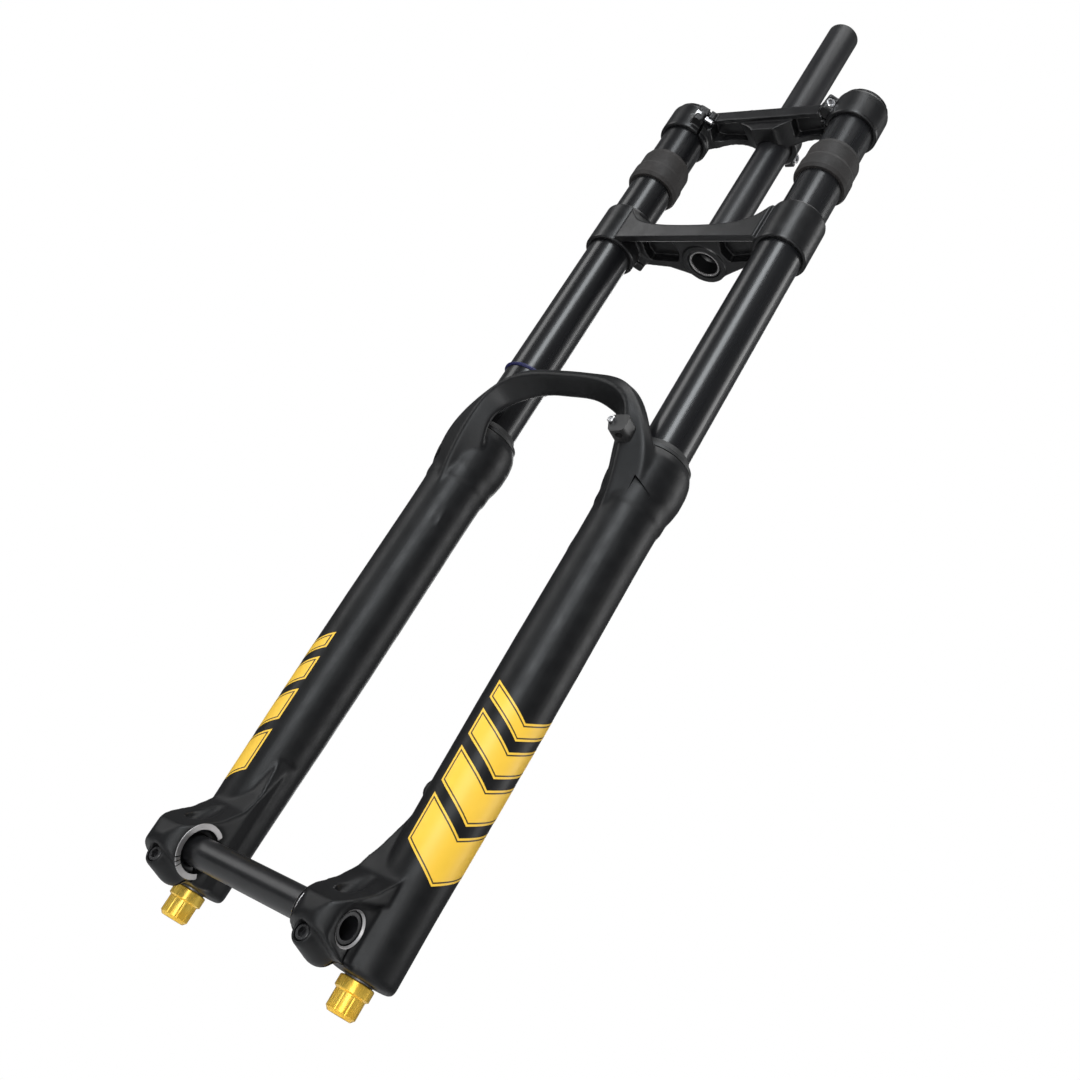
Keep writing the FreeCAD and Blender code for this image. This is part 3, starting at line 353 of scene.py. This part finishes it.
def taper_box(bm, side):
    """A box that tapers the inner top corner of a dropout into its leg."""
    inward = Vector((-0.94 * side, -0.342, 0)).normalized()
    low = Vector((side * LEG_X, LEG_Y, level(45))) + inward * 0.0316
    high = Vector((side * LEG_X, LEG_Y, level(80))) + inward * 0.0213
    thickness = 0.02
    slope = (high - low).normalized()
    along = inward.cross(Vector((0, 0, 1)))
    out = along.cross(slope)
    if out.dot(inward) < 0:
        along, out = -along, -out
    turn = Matrix((along, slope, out)).transposed().to_4x4()
    place = Matrix.Translation((low + high) / 2 + out * (thickness / 2)) @ turn
    span = Matrix.Diagonal((0.06, (high - low).length, thickness, 1.0))
    bmesh.ops.create_cube(bm, size=1.0, matrix=place @ span)


def scoop_dropouts(bm):
    """Each dropout's taper, and the long hollow between its inner and outer ridge."""
    slope = Vector((0, 0.55, 0.84)).normalized()
    across = Vector((1, 0, 0))
    out = across.cross(slope)
    for side in (1, -1):
        middle = Vector((side * 0.0725, AXLE_Y + 0.0015, level(26.5)))
        turn = Matrix((across, slope, out)).transposed().to_4x4()
        place = Matrix.Translation(middle) @ turn @ Matrix.Diagonal((0.0075, 0.019, 0.0052, 1.0))
        bmesh.ops.create_uvsphere(bm, u_segments=32, v_segments=16, radius=1.0, matrix=place)
        taper_box(bm, side)


def panel_cutter(bm, side):
    """A shallow three-sided pocket in front of the seal collar."""
    top, low, steps = level(344), level(314), 8
    pocket_floor, outside = 0.0259, 0.045
    rows = []
    for index in range(steps + 1):
        share = index / steps
        azimuth = -71 + 34 * share
        rows.append((azimuth, top - 0.008 * share, low + (top - 0.010 - low) * share))
    verts = []
    for azimuth, high, deep in rows:
        for radius in (pocket_floor, outside):
            verts.append(bm.verts.new(around_leg(side, azimuth, radius, high)))
            verts.append(bm.verts.new(around_leg(side, azimuth, radius, deep)))
    order = (lambda face: face) if side > 0 else (lambda face: face[::-1])
    for index in range(steps):
        a, b, c, d = verts[4 * index:4 * index + 4]
        e, f, g, h = verts[4 * index + 4:4 * index + 8]
        for face in ((a, b, f, e), (c, g, h, d), (a, e, g, c), (b, d, h, f)):
            bm.faces.new(order(face))
    bm.faces.new(order((verts[0], verts[2], verts[3], verts[1])))
    bm.faces.new(order((verts[-4], verts[-3], verts[-1], verts[-2])))
    bmesh.ops.recalc_face_normals(bm, faces=bm.faces)


def machine_legs(bm):
    """The bores, seats and slits that are cut after casting."""
    axle_bore, seal_seat, screw_head = 0.01006, 0.02262, 0.0054
    for side in (1, -1):
        x = side * LEG_X
        cutter_cylinder(bm, axle_bore, (side * 0.04, AXLE_Y, AXLE_Z), (side * 0.1, AXLE_Y, AXLE_Z))
        cutter_cylinder(bm, seal_seat, (x, LEG_Y, level(346.4)), (x, LEG_Y, level(380)), 128)
        pinch_x, pinch_z = side * 0.0715, level(-14.5)
        front, seat = AXLE_Y - 0.04, AXLE_Y - 0.0107
        cutter_cylinder(bm, screw_head, (pinch_x, front, pinch_z), (pinch_x, seat, pinch_z))
        low = (side * 0.07 - 0.03, AXLE_Y + 0.0068, level(-40))
        high = (side * 0.07 + 0.03, AXLE_Y + 0.0086, level(-1))
        cutter_box(bm, low, high)


def finish_casting(thing, node, body, slot):
    for polygon in thing.data.polygons:
        polygon.use_smooth = True
    thing.data.set_sharp_from_angle(angle=math.radians(40))
    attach(thing, body)
    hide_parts(node)
    wear(thing, slot)
    return thing


def cast_legs():
    """The lower legs with cast blends, and their machined features cut crisp."""
    legs = smoothed_casting("lower_legs", "lower_legs_cast", 0.0009, 18, scoop_dropouts)
    cut_with(legs, machine_legs)
    for side in (1, -1):
        cut_with(legs, lambda bm: panel_cutter(bm, side))
    return finish_casting(legs, "lower_legs", "lowers", "black_casting")


def forged_crown(node):
    """A crown with the soft edges of a forging."""
    crown = smoothed_casting(node, node + "_forged", 0.0006, 5)
    return finish_casting(crown, node, "crowns", "black_crown")


legs = cast_legs()
for crown_node in ("lower_crown", "upper_crown"):
    forged_crown(crown_node)


# ---------------------------------------------------------------- printed graphics

# Level of each stripe's point and its height, both in millimetres.
STRIPES = ((44, 32), (84, 25), (117, 19), (144, 13))
STRIPE_RISE = 0.018
STRIPE_HALF = 0.031
STRIPE_AZIMUTH = -27
PRINT_RADIUS = 0.0243
PRINT_LIFT = 0.00012
PRINT_STEP = 0.0015
RIM, INLINE = 0.0016, 0.0027


def print_looks():
    yellow = painted(
        "print_yellow", (0.86, 0.525, 0.042), (0.90, 0.555, 0.055), (0.42, 0.52), 1500.0, 0.00002)
    dark = painted(
        "print_inline", (0.035, 0.022, 0.008), (0.05, 0.03, 0.012), (0.4, 0.5), 1500.0, 0.00002)
    return yellow.material, dark.material


def band_marks(length):
    """Grid lines along a stripe: its rim and inline at both ends, and even steps between."""
    count = max(2, round(length / PRINT_STEP))
    marks = {0.0, RIM, INLINE, length - INLINE, length - RIM, length}
    steps = [length * index / count for index in range(1, count)]
    marks |= {step for step in steps if INLINE < step < length - INLINE}
    return sorted(marks)


def stripe(tree, side, low_mm, high_mm, verts, faces, inline):
    """One pointed stripe wrapped round the outer front of a leg."""
    across = band_marks(2 * STRIPE_HALF)
    if STRIPE_HALF not in across:
        across = sorted(across + [STRIPE_HALF])
    up = band_marks(high_mm * MM)
    start = len(verts)
    for s in across:
        offset = s - STRIPE_HALF
        azimuth = STRIPE_AZIMUTH + math.degrees(offset / PRINT_RADIUS)
        for v in up:
            height = level(low_mm) + v + STRIPE_RISE * abs(offset) / STRIPE_HALF
            outside = around_leg(side, azimuth, 0.06, height)
            way = around_leg(side, azimuth, 0.0, height) - outside
            hit = tree.ray_cast(outside, way.normalized())[0]
            verts.append(hit - way.normalized() * PRINT_LIFT)
    for i in range(len(across) - 1):
        for j in range(len(up) - 1):
            a = start + i * len(up) + j
            b = a + len(up)
            faces.append((a, b, b + 1, a + 1) if side > 0 else (a, a + 1, b + 1, b))
            mid_s = (across[i] + across[i + 1]) / 2
            mid_v = (up[j] + up[j + 1]) / 2
            edge = min(mid_s, 2 * STRIPE_HALF - mid_s, mid_v, high_mm * MM - mid_v)
            inline.append(1 if RIM < edge < INLINE else 0)


def leg_print(side, name):
    bm = bmesh.new()
    bm.from_mesh(legs.data)
    tree = BVHTree.FromBMesh(bm)
    bm.free()
    verts, faces, inline = [], [], []
    for low_mm, high_mm in STRIPES:
        stripe(tree, side, low_mm, high_mm, verts, faces, inline)
    thing = new_object(name, verts, faces)
    for material in PRINTS:
        thing.data.materials.append(material)
    thing.data.polygons.foreach_set("material_index", inline)
    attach(thing, "lowers")


PRINTS = print_looks()
for print_side, print_name in SIDES:
    leg_print(print_side, f"leg_print_{print_name}")


# ---------------------------------------------------------------- bare machined rings

def band(name, rings, span, skip=None):
    """A surface through circles of span points each; skip leaves out some steps round them."""
    verts = [place for ring in rings for place in ring]
    faces = []
    for row in range(len(rings) - 1):
        for index in range(span):
            if skip and skip(index):
                continue
            a = row * span + index
            b = row * span + (index + 1) % span
            faces.append((a, b, b + span, a + span))
    return new_object(name, verts, faces, smooth=False)


def circle_x(x, radius, span):
    """Points round the axle at that x."""
    turns = [math.tau * i / span for i in range(span)]
    return [Vector((x, AXLE_Y + radius * math.cos(turn), AXLE_Z + radius * math.sin(turn))) for turn in turns]


def circle_z(z, radii):
    """Points round the steerer at that height, one for each radius."""
    span = len(radii)
    return [Vector((r * math.cos(math.tau * i / span), r * math.sin(math.tau * i / span), z))
            for i, r in enumerate(radii)]


def bare_metal(thing, body):
    wear(thing, "bare_aluminium")
    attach(thing, body)


def hub_rings():
    """The bare faces that the hub rests on, and the edge of the axle's bore outside."""
    span = 144
    tick_steps = (86, 90, 94)
    for (side, name), outer in zip(SIDES, (0.0162, 0.0180)):
        seat, face_x = side * 0.0552, side * 0.0548
        rows = [circle_x(seat, 0.0142, span), circle_x(face_x, 0.0144, span),
                circle_x(face_x, outer, span), circle_x(seat, outer + 0.0002, span)]
        face = band(f"hub_face_{name}", rows, span,
                    skip=lambda i: math.cos(math.tau * i / span) > 0.56 or i in tick_steps)
        rows = [circle_x(side * 0.0864, 0.0101, span), circle_x(side * 0.08755, 0.0112, span),
                circle_x(side * 0.0876, 0.01135, span)]
        chamfer = band(f"axle_chamfer_{name}", rows, span)
        for thing in (face, chamfer):
            bare_metal(thing, "lowers")


def steerer_rim():
    """The toothed lower end of the steerer, under the lower crown."""
    teeth = 44
    span = 2 * teeth
    low = level(599.4)
    toothed = [0.0121 if i % 2 else 0.0128 for i in range(span)]
    inner = [radius - 0.0006 for radius in toothed]
    rows = [circle_z(low + 0.0001, [0.0133] * span), circle_z(low, [0.0130] * span),
            circle_z(low, toothed), circle_z(low + 0.0011, inner)]
    bare_metal(band("steerer_end", rows, span), "crowns")


hub_rings()
steerer_rim()


# ---------------------------------------------------------------- staging

def area_light(name, place, aim, width, height, power, colour=(1, 1, 1)):
    lamp = bpy.data.lights.new(name, "AREA")
    lamp.shape = "RECTANGLE"
    lamp.size = width
    lamp.size_y = height
    lamp.energy = power
    lamp.color = colour
    thing = bpy.data.objects.new(name, lamp)
    bpy.context.scene.collection.objects.link(thing)
    thing.location = place
    way = Vector(aim) - Vector(place)
    side = way.cross(Vector((0, 0, 1))).normalized()
    up = side.cross(way.normalized())
    turn = Matrix((side, up, -way.normalized())).transposed()
    thing.rotation_mode = "QUATERNION"
    thing.rotation_quaternion = turn.to_quaternion()
    return thing


def lay_floor():
    """A pale round floor under the fork."""
    look = Shader("floor_pale", (0.82, 0.82, 0.82), 0.7)
    look.tones(look.noise(3.0, 3.0), (0.80, 0.80, 0.80), (0.84, 0.84, 0.84))
    look.roughness(look.noise(6.0, 3.0), 0.65, 0.75)
    span, radius, height = 120, 1.0, -0.96
    turns = [math.tau * i / span for i in range(span)]
    rim = [(radius * math.cos(turn), radius * math.sin(turn), height) for turn in turns]
    floor = new_object("floor", rim, [list(range(span))], smooth=False)
    floor.data.materials.append(look.material)


def surround():
    """A white background that lights the fork only softly."""
    world = bpy.data.worlds.new("surround")
    bpy.context.scene.world = world
    world.use_nodes = True
    tree = world.node_tree
    seen = tree.nodes["Background"]
    seen.inputs["Color"].default_value = (1, 1, 1, 1)
    seen.inputs["Strength"].default_value = 1.0
    lit = tree.nodes.new("ShaderNodeBackground")
    lit.inputs["Color"].default_value = (0.95, 0.97, 1.0, 1)
    lit.inputs["Strength"].default_value = 0.13
    mix = tree.nodes.new("ShaderNodeMixShader")
    path = tree.nodes.new("ShaderNodeLightPath")
    tree.links.new(path.outputs["Is Camera Ray"], mix.inputs["Fac"])
    tree.links.new(lit.outputs["Background"], mix.inputs[1])
    tree.links.new(seen.outputs["Background"], mix.inputs[2])
    tree.links.new(mix.outputs["Shader"], tree.nodes["World Output"].inputs["Surface"])


def lights():
    """Tall soft boxes in front and at the sides, and low ones for the dropouts and caps."""
    middle, foot = (0.0, -0.03, 0.3), (0.0, -0.03, -0.65)
    area_light("key", (0.5, -1.35, 0.42), middle, 0.5, 1.7, 24, (0.93, 0.97, 1.0))
    area_light("left_fill", (-1.15, -1.1, 0.42), middle, 0.6, 1.7, 9)
    area_light("right_fill", (1.15, 1.0, 0.42), middle, 0.6, 1.7, 13)
    area_light("top", (0.2, -0.4, 1.7), middle, 1.2, 1.2, 14)
    area_light("under", (0.7, -0.9, -1.7), (0.0, -0.03, -0.6), 1.3, 1.3, 36)
    area_light("low_front", (0.72, -0.95, -0.85), foot, 0.45, 0.45, 4.5)
    area_light("back", (-0.8, 1.3, 0.4), middle, 0.6, 1.6, 8)


def camera():
    """The view along the fork from below its front left."""
    lens = bpy.data.cameras.new("camera")
    lens.sensor_width = 36.0
    lens.lens = 41.40
    lens.shift_x = 0.0028
    lens.shift_y = -0.0028
    lens.clip_start = 0.01
    thing = bpy.data.objects.new("camera", lens)
    bpy.context.scene.collection.objects.link(thing)
    right = Vector((0.76566, 0.43031, 0.47812))
    up = Vector((-0.14643, -0.60717, 0.78096))
    back = right.cross(up).normalized()
    turn = Matrix((right, up, back)).transposed()
    thing.rotation_mode = "QUATERNION"
    thing.rotation_quaternion = turn.to_quaternion()
    thing.location = (0.57295, -0.61133, -0.68332)
    bpy.context.scene.camera = thing


lay_floor()
surround()
lights()
camera()
bpy.context.scene.view_settings.view_transform = "Standard"
bpy.context.scene.view_settings.look = "None"
